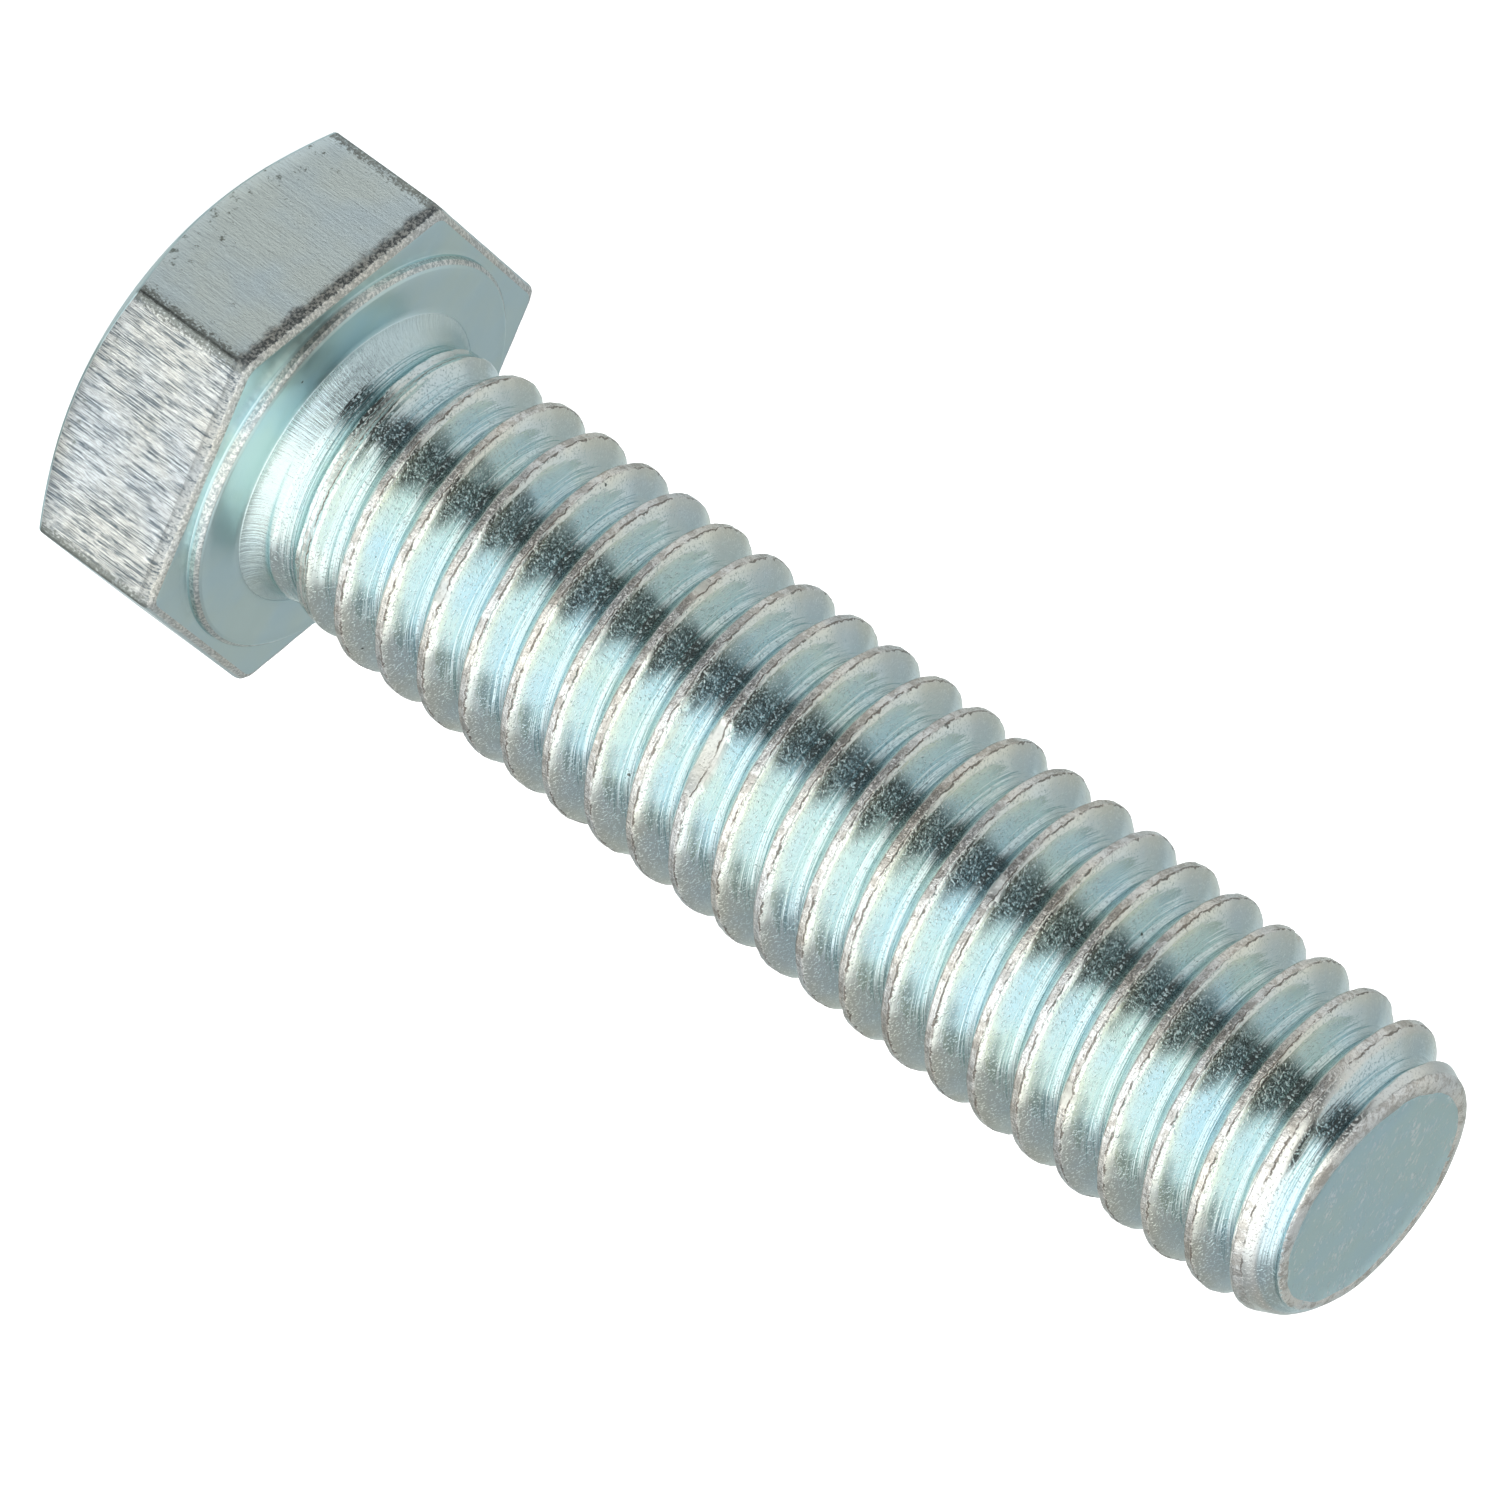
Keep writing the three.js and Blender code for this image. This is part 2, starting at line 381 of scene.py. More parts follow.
def depth_at(height):
    """Depth of the profile at a height above a crest."""
    offset = crest_offset(height)
    for (near_place, near_depth), (far_place, far_depth) in zip(HALF_PROFILE, HALF_PROFILE[1:]):
        if offset <= far_place:
            share = (offset - near_place) / (far_place - near_place)
            return near_depth + (far_depth - near_depth) * share
    return HALF_PROFILE[-1][1]


def smooth_least(first, second, blend):
    """The smaller of two values, rounded off where they meet."""
    share = max(0.0, 1 - abs(first - second) / blend)
    return min(first, second) - share * share * blend / 4


def knocked(angle, height):
    """How much of the crest is gone at a place."""
    gone = 0
    for knock_angle, knock_height, half_length, depth in KNOCKS:
        turn = (angle - knock_angle + 180) % 360 - 180
        if abs(turn) < half_length and abs(height - knock_height) < PITCH / 2:
            gone = max(gone, depth * (1 - (turn / half_length) ** 2))
    return gone


def shank_point(column, height):
    """The point of the shank's surface at a column of the grid and a height."""
    place = ring_point(column, CREST_RADIUS, height)
    crest = CREST_ON_X + PITCH * column / COLUMNS
    wander = CREST_WANDER * noise.noise(place * WANDER_WAVES)
    depth = depth_at(height - crest - wander)
    near_crest = max(0.0, 1 - depth / FILL_DEPTH)
    uneven = sum(share * noise.noise(place * waves) for share, waves in FILL_WAVES)
    rise = CREST_RISE * uneven * near_crest
    full = min(CREST_RADIUS - depth + rise, CREST_RADIUS - knocked(360 * column / COLUMNS, height))
    formed = max(0.0, min(1.0, (height - RUNOUT_START) / RUNOUT_LENGTH))
    radius = BLANK_RADIUS + (full - BLANK_RADIUS) * formed
    if height < NECK_BOTTOM:
        radius += FILLET_RADIUS - math.sqrt(FILLET_RADIUS**2 - (NECK_BOTTOM - height) ** 2)
    offset = crest_offset(height - crest - wander)
    middle = max(0.0, 1 - (offset / LIP_SPACING) ** 2)
    lip = max(0.0, 1 - ((offset - LIP_SPACING) / LIP_HALF_WIDTH) ** 2)
    radius += 4 * formed * (1 - formed) * (LIP_RISE * lip - UNFILLED_DEPTH * middle)
    cone = POINT_RADIUS + (POINT_TOP - height) * POINT_SLOPE
    return ring_point(column, smooth_least(radius, cone, POINT_BLEND), height)


# The rows lean up the helix. Over the first turn they fan out from a level ring, and over the
# last turn they close into another, so the grid meets plain rings at both ends.
SHANK_BOTTOM = CREST_ON_X + PITCH / 2
TURNS = math.floor((POINT_TOP - SHANK_BOTTOM) / PITCH)
SHANK_TOP = SHANK_BOTTOM + TURNS * PITCH


def helix_point(row, column):
    """Where a point of the threaded grid goes."""
    pitches, step = divmod(row, ROWS_PER_PITCH)
    lead = PITCH * column / COLUMNS
    height = SHANK_BOTTOM + (pitches - 1) * PITCH + PITCH_ROWS[step] + lead
    if pitches == 0:
        height = SHANK_BOTTOM + lead * PITCH_ROWS[step] / PITCH
    if pitches >= TURNS:
        share = pitches - TURNS + PITCH_ROWS[step] / PITCH
        start = SHANK_TOP - PITCH + lead
        height = start + (SHANK_TOP - start) * share
    return shank_point(column, height)


wrap_grid(bolt_form, (TURNS + 1) * ROWS_PER_PITCH + 1, helix_point)

NECK_ROWS = 26


def neck_point(row, column):
    """Where a point of the washer face, fillet and neck goes."""
    if row < len(WASHER_OUTLINE):
        return ring_point(column, *WASHER_OUTLINE[row])
    share = (row - len(WASHER_OUTLINE)) / (NECK_ROWS - 1)
    return shank_point(column, FILLET_FOOT_HEIGHT + (SHANK_BOTTOM - FILLET_FOOT_HEIGHT) * share)


wrap_grid(bolt_form, len(WASHER_OUTLINE) + NECK_ROWS, neck_point)

# ---------------------------------------------------------------------------------------------
# Point. The blank was cropped square and its end coned, so the last turn fades into a rolled,
# uneven lip round a flat end face that lies a little below the lip.
# ---------------------------------------------------------------------------------------------
POINT_ROWS = 22
LIP_ROWS = 8
LIP_RADIUS = 3.60  # where the lip is highest
END_FACE_RADIUS = 3.34
END_FACE_DEPTH = 0.06
INNER_LIP_ROWS = 2
END_FACE_ROWS = 8
END_TILT = Vector((-0.0192, 0.0106, 0))  # the cut is 1.3 degrees out of square
LIP_WAVES = ((0.10, 0.8), (0.03, 3.1))  # millimetres, waves per millimetre


def point_point(row, column):
    """Where a point of the bolt's point goes."""
    if row <= POINT_ROWS:
        return shank_point(column, SHANK_TOP + (POINT_TOP - SHANK_TOP) * row / POINT_ROWS)
    place = ring_point(column, LIP_RADIUS, END_HEIGHT)
    uneven = sum(noise.noise(place * waves) * reach for reach, waves in LIP_WAVES)
    lip_radius = LIP_RADIUS + uneven
    if row <= POINT_ROWS + LIP_ROWS:
        angle = math.pi / 2 * (row - POINT_ROWS) / LIP_ROWS
        edge = shank_point(column, POINT_TOP)
        radius = lip_radius + (math.hypot(edge.x, edge.y) - lip_radius) * math.cos(angle)
        point = ring_point(column, radius, POINT_TOP + POINT_EDGE_HEIGHT * math.sin(angle))
        return point + Vector((0, 0, point.dot(END_TILT) * math.sin(angle)))
    step = row - POINT_ROWS - LIP_ROWS
    if step <= INNER_LIP_ROWS:
        share = step / INNER_LIP_ROWS
        radius = lip_radius - (LIP_RADIUS - END_FACE_RADIUS) * share
        point = ring_point(column, radius, END_HEIGHT - END_FACE_DEPTH * share**2)
    else:
        share = (step - INNER_LIP_ROWS) / END_FACE_ROWS
        radius = (END_FACE_RADIUS + uneven) * (1 - share)
        point = ring_point(column, radius, END_HEIGHT - END_FACE_DEPTH)
    return point + Vector((0, 0, point.dot(END_TILT)))


wrap_grid(bolt_form, POINT_ROWS + LIP_ROWS + INNER_LIP_ROWS + END_FACE_ROWS + 1, point_point)

# The four grids become one closed skin. "worn" marks the vertices that the knocks left bare.
WELD_DISTANCE = 0.002
SHARP_ANGLE = math.radians(40)
KNOCK_MARGIN = 0.03
bmesh.ops.remove_doubles(bolt_form, verts=bolt_form.verts, dist=WELD_DISTANCE)
bmesh.ops.recalc_face_normals(bolt_form, faces=bolt_form.faces)
worn = bolt_form.verts.layers.float.new("worn")
for vertex in bolt_form.verts:
    gone = knocked(math.degrees(math.atan2(vertex.co.y, vertex.co.x)), vertex.co.z)
    if gone and math.hypot(vertex.co.x, vertex.co.y) > CREST_RADIUS - gone - KNOCK_MARGIN:
        vertex[worn] = 1

# Each face takes the finish of the way it was made.
FORGED, TRIMMED, ROLLED, SHEARED = range(4)
SHEARED_RADIUS = END_FACE_RADIUS + 0.13
SHEARED_BOTTOM = END_HEIGHT - 0.2
TRIMMED_TOP = HEX_HEIGHT - 0.003
STEEPEST_CHAMFER = -0.3  # of the upward part of a normal, above which a face isn't the chamfer's
for face in bolt_form.faces:
    middle = face.calc_center_median()
    from_axis = math.hypot(middle.x, middle.y)
    face.smooth = True
    face.material_index = FORGED
    if middle.z > NECK_BOTTOM:
        face.material_index = ROLLED
    if middle.z > SHEARED_BOTTOM and from_axis < SHEARED_RADIUS:
        face.material_index = SHEARED
    if middle.z < TRIMMED_TOP and from_axis > TOP_RADIUS and face.normal.z > STEEPEST_CHAMFER:
        face.material_index = TRIMMED
bmesh.ops.scale(bolt_form, vec=(1 / TO_MM,) * 3, verts=bolt_form.verts)
bolt_mesh = bpy.data.meshes.new("bolt")
bolt_form.to_mesh(bolt_mesh)
bolt_form.free()
bolt_mesh.set_sharp_from_angle(angle=SHARP_ANGLE)
bolt = bpy.data.objects.new("bolt", bolt_mesh)
bpy.context.scene.collection.objects.link(bolt)

# ---------------------------------------------------------------------------------------------
# Finish. The whole bolt is barrel plated with bright zinc and passivated blue-white, a film so
# thin that it tints the metal pale cyan, warmer on the crests. What differs is the steel below.
# ---------------------------------------------------------------------------------------------
RGBA = {"data_type": "RGBA"}
CLOUDS_PER_MM = 0.45
CRYSTALS_PER_MM = 13  # coarser than real crystals, which are too fine to show
CRYSTAL_HEIGHT = 0.003
PIN_HOLE_CELLS_PER_MM = 0.9
PIN_HOLE_RADIUS = 0.05  # of the largest, in cells
PIN_HOLE_DEPTH = 0.02


def linear(colour):
    """An sRGB hex colour as the linear colour that a shader takes."""
    parts = [int(colour[place:place + 2], 16) / 255 for place in (1, 3, 5)]
    return [part / 12.92 if part < 0.04045 else ((part + 0.055) / 1.055) ** 2.4 for part in parts] + [1]


def plated(name):
    """A zinc plated material, and the place on the bolt in millimetres."""
    zinc = bpy.data.materials.new(name)
    zinc.use_nodes = True
    shader = zinc.node_tree.nodes["Principled BSDF"]
    shader.inputs["Metallic"].default_value = 1
    shader.inputs["Specular Tint"].default_value = linear("#e1eced")
    spot = node(zinc.node_tree, "ShaderNodeTexCoord").outputs["Object"]
    spot = node(zinc.node_tree, "ShaderNodeVectorMath", {0: spot, "Scale": TO_MM}, operation="SCALE")
    bolt_mesh.materials.append(zinc)
    return zinc.node_tree, shader, spot.outputs[0]


def finish(tree, shader, spot, colour, roughness, relief, crystal_height=CRYSTAL_HEIGHT):
    """Adds what every plated face has: cloudy tint, fine grain and pin holes, and links the shader.
    relief and crystal_height are in millimetres."""
    # The passivate film drifts from yellowish to bluish over a few millimetres.
    cloud = node(tree, "ShaderNodeTexNoise", {"Vector": spot, "Scale": CLOUDS_PER_MM, "Detail": 3})
    cloud = node(tree, "ShaderNodeMapRange", {0: cloud, 1: 0.38, 2: 0.62})
    film = node(tree, "ShaderNodeMix", {0: cloud, 6: linear("#f9f9f3"), 7: linear("#f2f7f9")}, **RGBA)
    colour = node(
        tree, "ShaderNodeMix", {0: 1, 6: colour, 7: film.outputs[2]}, blend_type="MULTIPLY", **RGBA
    )
    # Scattered zinc crystals make the edges of reflections sparkle.
    grain = node(
        tree,
        "ShaderNodeTexNoise",
        {"Vector": spot, "Scale": CRYSTALS_PER_MM, "Detail": 2, "Roughness": 0.6},
    )
    grain = node(tree, "ShaderNodeMapRange", {0: grain, 1: 0.57, 2: 0.80})
    grain = node(
        tree, "ShaderNodeMath", {0: grain, 1: crystal_height, 2: relief}, operation="MULTIPLY_ADD"
    )
    # Pin holes, up to 0.1 mm across and a few millimetres apart.
    holes = node(tree, "ShaderNodeTexVoronoi", {"Vector": spot, "Scale": PIN_HOLE_CELLS_PER_MM})
    rare = node(tree, "ShaderNodeSeparateColor", {0: holes.outputs["Color"]})
    size = node(tree, "ShaderNodeMapRange", {0: rare, 1: 0.6, 2: 1, 3: 0, 4: PIN_HOLE_RADIUS})
    hole = node(tree, "ShaderNodeMath", {0: holes.outputs["Distance"], 1: size}, operation="LESS_THAN")
    colour = node(tree, "ShaderNodeMix", {0: hole, 6: colour.outputs[2], 7: linear("#7a807c")}, **RGBA)
    height = node(
        tree, "ShaderNodeMath", {0: hole, 1: -PIN_HOLE_DEPTH, 2: grain}, operation="MULTIPLY_ADD"
    )
    bump = node(tree, "ShaderNodeBump", {"Height": height, "Distance": 1 / TO_MM, "Strength": 1})
    tree.links.new(colour.outputs[2], shader.inputs["Base Color"])
    tree.links.new(bump.outputs[0], shader.inputs["Normal"])
    tree.links.new(roughness.outputs[0], shader.inputs["Roughness"])


# Forged faces: the top, the bearing face, the washer face and the streaky sweep of the neck.
STREAKS_PER_RADIAN = 60  # which makes them a little under 0.1 mm wide
STREAK_HEIGHT = 0.03
RIM_START = WASHER_WALL_RADIUS - 0.15
RIM_CRUMBS_PER_MM = 9
RIM_CRUMB_HEIGHT = 0.008
DIE_WAVE_HEIGHT = 0.03

tree, shader, spot = plated("zinc plate on forged steel")
axes = node(tree, "ShaderNodeSeparateXYZ", {0: spot})
flat_spot = node(tree, "ShaderNodeVectorMath", {0: spot, 1: (1, 1, 0)}, operation="MULTIPLY")
radius = node(tree, "ShaderNodeVectorMath", {0: flat_spot}, operation="LENGTH").outputs["Value"]
outward = node(tree, "ShaderNodeVectorMath", {0: flat_spot}, operation="NORMALIZE")
# Streaks that the die drew up the neck.
streaks = node(
    tree, "ShaderNodeVectorMath", {0: outward, "Scale": STREAKS_PER_RADIAN}, operation="SCALE"
)
lift = node(tree, "ShaderNodeCombineXYZ", {2: axes.outputs[2]})
streaks = node(tree, "ShaderNodeVectorMath", {0: streaks, 1: lift})
streaks = node(
    tree, "ShaderNodeTexNoise", {"Vector": streaks, "Scale": 1, "Detail": 4, "Roughness": 0.65}
)
neck = node(
    tree, "ShaderNodeMapRange", {0: radius, 1: FILLET_FOOT + 0.04, 2: FILLET_FOOT - 0.02}, **SMOOTH
)
relief = node(tree, "ShaderNodeMath", {0: streaks, 1: neck}, operation="MULTIPLY")
relief = node(tree, "ShaderNodeMath", {0: relief, 1: STREAK_HEIGHT}, operation="MULTIPLY")
# The rim of the washer face is crumbly.
rim = node(tree, "ShaderNodeMapRange", {0: radius, 1: RIM_START, 2: RIM_START + 0.04}, **SMOOTH)
on_wall = node(
    tree,
    "ShaderNodeMapRange",
    {0: axes.outputs[2], 1: HEX_HEIGHT + 0.05, 2: HEX_HEIGHT + 0.12},
    **SMOOTH,
)
rim = node(tree, "ShaderNodeMath", {0: rim, 1: on_wall}, operation="MULTIPLY")
crumbs = node(
    tree,
    "ShaderNodeTexNoise",
    {"Vector": spot, "Scale": RIM_CRUMBS_PER_MM, "Detail": 4, "Roughness": 0.7},
)
crumb_depth = node(tree, "ShaderNodeMath", {0: rim, 1: RIM_CRUMB_HEIGHT}, operation="MULTIPLY")
relief = node(tree, "ShaderNodeMath", {0: crumbs, 1: crumb_depth, 2: relief}, operation="MULTIPLY_ADD")
# The die leaves its flat faces a little wavy.
wave = node(tree, "ShaderNodeTexNoise", {"Vector": spot, "Scale": 0.9, "Detail": 2})
relief = node(
    tree, "ShaderNodeMath", {0: wave, 1: DIE_WAVE_HEIGHT, 2: relief}, operation="MULTIPLY_ADD"
)
roughness = node(tree, "ShaderNodeMapRange", {0: neck, 3: 0.30, 4: 0.24})
colour = node(tree, "ShaderNodeMix", {0: neck, 6: linear("#d5ebee"), 7: linear("#def0f2")}, **RGBA)
speckle = node(tree, "ShaderNodeMapRange", {0: crumbs, 1: 0.42, 2: 0.60}, **SMOOTH)
rim_colour = node(
    tree, "ShaderNodeMix", {0: speckle, 6: linear("#b4bdbe"), 7: linear("#f2f5f3")}, **RGBA
)
colour = node(tree, "ShaderNodeMix", {0: rim, 6: colour.outputs[2], 7: rim_colour.outputs[2]}, **RGBA)
finish(tree, shader, spot, colour.outputs[2], roughness, relief)

# Trimmed flats: the trimming die drags fine lines along them. A dark strip of painted shade lies along
# the bearing edge.
SHADED_FLAT = (-0.866, -0.5, 0)
SCORED_SIDE = (0, -1, 0)
SAME_SIDE = {1: 0.85, 2: 0.88}  # of the cosine of the angle to the middle of a flat
FINE_LINES = (14, 14, 1.0)  # waves per millimetre across, across and along the bolt
LINE_HEIGHT = 0.004
DRAG_LINES = (24, 24, 0.55)
DRAG_PATCHES = (5.5, 5.5, 1.2)
SCORE_HEIGHT = 0.03
CRUMBS_PER_MM = 10
CRUMB_HEIGHT = 0.006
EDGE_CRUMB_HEIGHT = 0.035

tree, shader, spot = plated("zinc plate on trimmed steel")
axes = node(tree, "ShaderNodeSeparateXYZ", {0: spot})
# Fine lines everywhere, and deep drag lines that come in patches on the scored side.
lines = node(tree, "ShaderNodeVectorMath", {0: spot, 1: FINE_LINES}, operation="MULTIPLY")
lines = node(tree, "ShaderNodeTexNoise", {"Vector": lines, "Scale": 1, "Detail": 3, "Roughness": 0.7})
drags = node(tree, "ShaderNodeVectorMath", {0: spot, 1: DRAG_LINES}, operation="MULTIPLY")
drags = node(tree, "ShaderNodeTexNoise", {"Vector": drags, "Scale": 1, "Detail": 3, "Roughness": 0.75})
patch = node(tree, "ShaderNodeVectorMath", {0: spot, 1: DRAG_PATCHES}, operation="MULTIPLY")
patch = node(tree, "ShaderNodeTexNoise", {"Vector": patch, "Scale": 1, "Detail": 4, "Roughness": 0.75})
patch = node(tree, "ShaderNodeMapRange", {0: patch, 1: 0.40, 2: 0.54})
relief = node(tree, "ShaderNodeMath", {0: lines, 1: LINE_HEIGHT}, operation="MULTIPLY")
crumbs = node(
    tree, "ShaderNodeTexNoise", {"Vector": spot, "Scale": CRUMBS_PER_MM, "Detail": 4, "Roughness": 0.7}
)
# One side is scored deepest. The painted shade along the bearing edge is full on one flat and a quarter
# as strong on the others.
outward = node(tree, "ShaderNodeVectorMath", {0: spot, 1: (1, 1, 0)}, operation="MULTIPLY")
outward = node(tree, "ShaderNodeVectorMath", {0: outward}, operation="NORMALIZE")
scored = node(tree, "ShaderNodeVectorMath", {0: outward, 1: SCORED_SIDE}, operation="DOT_PRODUCT")
scored = node(
    tree, "ShaderNodeMapRange", {0: scored.outputs["Value"], 3: 0.1, 4: 1, **SAME_SIDE}, **SMOOTH
)
score_depth = node(tree, "ShaderNodeMath", {0: scored, 1: SCORE_HEIGHT}, operation="MULTIPLY")
relief = node(tree, "ShaderNodeMath", {0: drags, 1: score_depth, 2: relief}, operation="MULTIPLY_ADD")
shaded_flat = node(tree, "ShaderNodeVectorMath", {0: outward, 1: SHADED_FLAT}, operation="DOT_PRODUCT")
shaded_flat = node(
    tree, "ShaderNodeMapRange", {0: shaded_flat.outputs["Value"], 3: 0.25, 4: 1, **SAME_SIDE}, **SMOOTH
)
# The painted shade has a ragged upper limit, and a white ribbon of burr below it.
edge_wander = node(
    tree, "ShaderNodeTexNoise", {"Vector": spot, "Scale": 1.4, "Detail": 4, "Roughness": 0.7}
)
shade_limit = node(
    tree, "ShaderNodeMath", {0: edge_wander, 1: 0.7, 2: axes.outputs[2]}, operation="MULTIPLY_ADD"
)
painted_shade = node(tree, "ShaderNodeMapRange", {0: shade_limit, 1: HEX_HEIGHT - 0.28, 2: HEX_HEIGHT + 0.02}, **SMOOTH)
ribbon = node(tree, "ShaderNodeMath", {0: crumbs, 1: 0.2, 2: axes.outputs[2]}, operation="MULTIPLY_ADD")
ribbon = node(
    tree, "ShaderNodeMapRange", {0: ribbon, 1: HEX_HEIGHT - 0.06, 2: HEX_HEIGHT - 0.02}, **SMOOTH
)
shade_end = node(tree, "ShaderNodeMath", {0: 1, 1: ribbon}, operation="SUBTRACT")
painted_shade = node(tree, "ShaderNodeMath", {0: painted_shade, 1: shade_end}, operation="MULTIPLY")
painted_shade = node(tree, "ShaderNodeMath", {0: painted_shade, 1: shaded_flat}, operation="MULTIPLY")
edge = node(
    tree,
    "ShaderNodeMapRange",
    {0: axes.outputs[2], 1: HEX_HEIGHT - 0.50, 2: HEX_HEIGHT - 0.35},
    **SMOOTH,
)
crumb_depth = node(tree, "ShaderNodeMapRange", {0: edge, 3: CRUMB_HEIGHT, 4: EDGE_CRUMB_HEIGHT})
relief = node(tree, "ShaderNodeMath", {0: crumbs, 1: crumb_depth, 2: relief}, operation="MULTIPLY_ADD")
roughness = node(tree, "ShaderNodeMapRange", {0: edge, 3: 0.26, 4: 0.36})
score = node(tree, "ShaderNodeMapRange", {0: drags, 1: 0.46, 2: 0.54, 3: 1, 4: 0}, **SMOOTH)
score = node(tree, "ShaderNodeMath", {0: score, 1: patch}, operation="MULTIPLY")
score = node(tree, "ShaderNodeMath", {0: score, 1: scored}, operation="MULTIPLY")
colour = node(tree, "ShaderNodeMix", {0: scored, 6: linear("#ecfbfe"), 7: linear("#f3f6f6")}, **RGBA)
colour = node(tree, "ShaderNodeMix", {0: score, 6: colour.outputs[2], 7: linear("#7a8790")}, **RGBA)
# The corners are worn dull.
corner = node(tree, "ShaderNodeMath", {0: axes.outputs[1], 1: axes.outputs[0]}, operation="ARCTAN2")
corner = node(tree, "ShaderNodeMath", {0: corner, 1: 6}, operation="MULTIPLY")
corner = node(tree, "ShaderNodeMath", {0: corner}, operation="COSINE")
corner = node(tree, "ShaderNodeMath", {0: crumbs, 1: 0.12, 2: corner}, operation="MULTIPLY_ADD")
corner = node(tree, "ShaderNodeMapRange", {0: corner, 1: 1.035, 2: 1.06}, **SMOOTH)
colour = node(tree, "ShaderNodeMix", {0: corner, 6: colour.outputs[2], 7: linear("#979d9a")}, **RGBA)
# Dull specks gather where the chamfer starts.
near_top = node(tree, "ShaderNodeMapRange", {0: axes.outputs[2], 1: 0.6, 2: 2.2, 3: 0.10, 4: 0})
speck = node(tree, "ShaderNodeTexNoise", {"Vector": spot, "Scale": 3, "Detail": 5, "Roughness": 0.75})
speck = node(tree, "ShaderNodeMath", {0: speck, 1: near_top})
speck = node(tree, "ShaderNodeMapRange", {0: speck, 1: 0.66, 2: 0.74}, **SMOOTH)
colour = node(tree, "ShaderNodeMix", {0: speck, 6: colour.outputs[2], 7: linear("#949d99")}, **RGBA)
speckle = node(tree, "ShaderNodeMapRange", {0: crumbs, 1: 0.42, 2: 0.62}, **SMOOTH)
# Painted shade: dark grey with lighter specks, laid along the bearing edge.
shade_colour = node(
    tree, "ShaderNodeMix", {0: speckle, 6: linear("#64696b"), 7: linear("#c6c7c4")}, **RGBA
)
colour = node(tree, "ShaderNodeMix", {0: painted_shade, 6: colour.outputs[2], 7: shade_colour.outputs[2]}, **RGBA)
ribbon_colour = node(
    tree, "ShaderNodeMix", {0: speckle, 6: linear("#c4c6c3"), 7: linear("#fdfdfa")}, **RGBA
)
colour = node(
    tree, "ShaderNodeMix", {0: ribbon, 6: colour.outputs[2], 7: ribbon_colour.outputs[2]}, **RGBA
)
finish(tree, shader, spot, colour.outputs[2], roughness, relief)

# Rolled thread: the dies burnish the flanks and roots and leave fine lines along them. The
# crests, where the metal closed last, are rough and carry a jagged seam. So is the coned point.
ROLL_LINES_PER_MM = 11
LINE_SHIFTS_PER_MM = 0.25
FLANK_LINE_HEIGHT = 0.007
ROOT_LINE_HEIGHT = 0.07
CREST_CRUMBS_PER_MM = 4
CREST_CRUMB_HEIGHT = 0.03
SEAM_STRAY = 0.24
SEAM_PLACE = 0.235  # from the middle of the crest, less about half of its stray
SEAM_DEPTH = 0.02
CRYSTAL_HEIGHT_ON_THREAD = 0.016
ROOT_RADIUS = 3.76
CONE_REACH = POINT_RADIUS + POINT_TOP * POINT_SLOPE  # what radius + height x slope is on the cone

tree, shader, spot = plated("zinc plate on rolled thread")
axes = node(tree, "ShaderNodeSeparateXYZ", {0: spot})
flat_spot = node(tree, "ShaderNodeVectorMath", {0: spot, 1: (1, 1, 0)}, operation="MULTIPLY")
radius = node(tree, "ShaderNodeVectorMath", {0: flat_spot}, operation="LENGTH").outputs["Value"]
turn = node(tree, "ShaderNodeMath", {0: axes.outputs[1], 1: axes.outputs[0]}, operation="ARCTAN2")
turn = node(tree, "ShaderNodeMath", {0: turn, 1: -PITCH / (2 * math.pi)}, operation="MULTIPLY")
lead = node(tree, "ShaderNodeMath", {0: axes.outputs[2], 1: turn}, operation="ADD")
lead = node(tree, "ShaderNodeMath", {0: lead, 1: CREST_ON_X}, operation="SUBTRACT")
# Distance along the axis from the nearest crest, positive towards the point.
offset = node(tree, "ShaderNodeMath", {0: lead, 1: PITCH / 2, 2: -PITCH / 2}, operation="WRAP")
distance = node(tree, "ShaderNodeMath", {0: offset}, operation="ABSOLUTE")
# Lines along the thread, 0.09 mm apart, that fade and shift over a few millimetres.
across_lines = node(tree, "ShaderNodeCombineXYZ", {0: offset})
across_lines = node(
    tree, "ShaderNodeVectorMath", {0: across_lines, "Scale": ROLL_LINES_PER_MM}, operation="SCALE"
)
along_lines = node(
    tree, "ShaderNodeVectorMath", {0: spot, "Scale": LINE_SHIFTS_PER_MM}, operation="SCALE"
)
lines = node(tree, "ShaderNodeVectorMath", {0: across_lines, 1: along_lines})
lines = node(tree, "ShaderNodeTexNoise", {"Vector": lines, "Scale": 1, "Detail": 3, "Roughness": 0.6})
root = node(tree, "ShaderNodeMapRange", {0: distance, 1: 0.42, 2: 0.62}, **SMOOTH)
line_depth = node(tree, "ShaderNodeMapRange", {0: root, 3: FLANK_LINE_HEIGHT, 4: ROOT_LINE_HEIGHT})
relief = node(tree, "ShaderNodeMath", {0: lines, 1: line_depth}, operation="MULTIPLY")
# The crest is a quarter of a millimetre wide with a crumbly border.
crumbs = node(
    tree,
    "ShaderNodeTexNoise",
    {"Vector": spot, "Scale": CREST_CRUMBS_PER_MM, "Detail": 6, "Roughness": 0.72},
)
border = node(tree, "ShaderNodeMath", {0: crumbs, 1: 0.16, 2: distance}, operation="MULTIPLY_ADD")
crest = node(tree, "ShaderNodeMapRange", {0: border, 1: 0.19, 2: 0.23, 3: 1, 4: 0}, **SMOOTH)
crest_metal = node(tree, "ShaderNodeMapRange", {0: radius, 1: 4.30, 2: 4.40}, **SMOOTH)
crest = node(tree, "ShaderNodeMath", {0: crest, 1: crest_metal}, operation="MULTIPLY")
